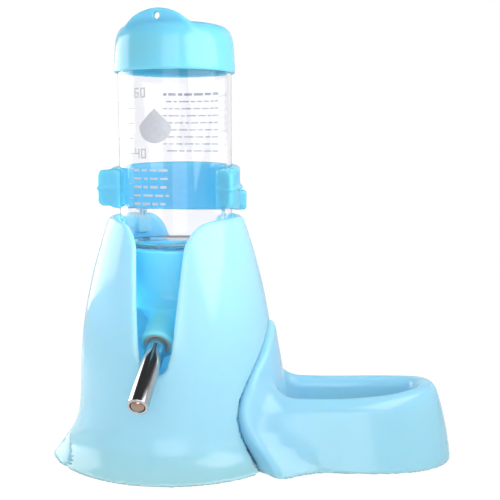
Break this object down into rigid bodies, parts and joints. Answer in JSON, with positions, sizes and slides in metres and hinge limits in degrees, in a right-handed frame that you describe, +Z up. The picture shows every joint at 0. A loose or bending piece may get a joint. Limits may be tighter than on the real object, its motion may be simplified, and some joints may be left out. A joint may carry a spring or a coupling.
{
  "type": "small pet water bottle with hut stand and food bowl",
  "caption": "Hut-shaped stand holding an upturned clear drinking bottle in a C-ring, with a ball-valve steel spout at the front and a rounded food bowl at the side.",
  "frame": {"origin": "on the floor, on the upright axis shared by the hut and the bottle, at the underside of the tray's floor plate", "axes": "+Z up along the bottle axis, -Y the front with the drinking spout, +X towards the food bowl"},
  "size_m": [0.1356, 0.0966, 0.1495],
  "materials": {
    "hut_plastic": "glossy moulded pale sky blue",
    "tray_plastic": "glossy moulded pale sky blue",
    "clip_plastic": "glossy moulded sky blue",
    "cap_plastic": "glossy moulded sky blue",
    "screw_cap_plastic": "satin-gloss moulded sky blue",
    "clear_plastic": "clear moulded plastic, polished",
    "seal_rubber": "soft grey rubber, matt",
    "steel": "polished stainless steel"
  },
  "bodies": {
    "stand": {"hut_shell": "hut_plastic", "bowl_tray": "tray_plastic"},
    "clip": {"ring_clip": "clip_plastic"},
    "drinker": {"screw_cap": "screw_cap_plastic", "tube_grommet": "seal_rubber", "spout_tube": "steel"},
    "seal": {"neck_seal": "seal_rubber"},
    "bottle": {"bottle_body": "clear_plastic", "top_cap": "cap_plastic"},
    "tip": {"tip_ball": "steel"},
    "inner": {"inner_ball": "steel"}
  },
  "joints": [
    {"name": "clip_pull", "type": "slide", "parent": "stand", "child": "clip", "axis": [0, 0, 1], "range_m": [0, 0.012]},
    {"name": "bottle_lift", "type": "slide", "parent": "stand", "child": "drinker", "axis": [0, 0, 1], "range_m": [0, 0.075]},
    {"name": "thread_rise", "type": "slide", "parent": "drinker", "child": "seal", "axis": [0, 0, 1], "range_m": [0, 0.006]},
    {"name": "bottle_unscrew", "type": "hinge", "parent": "seal", "child": "bottle", "pos_m": [0, 0, 0.071], "axis": [0, 0, 1], "range_deg": [0, 720]},
    {"name": "ball_push", "type": "slide", "parent": "drinker", "child": "tip", "axis": [0.0374, 0.8564, 0.515], "range_m": [0, 0.0012]},
    {"name": "inner_ball_push", "type": "slide", "parent": "drinker", "child": "inner", "axis": [0.0374, 0.8564, 0.515], "range_m": [0, 0.0012]}
  ],
  "couplings": [
    {"joint": "thread_rise", "follows": "bottle_unscrew", "m_per_rad": 0.00047746},
    {"joint": "inner_ball_push", "follows": "ball_push", "ratio": 1}
  ]
}
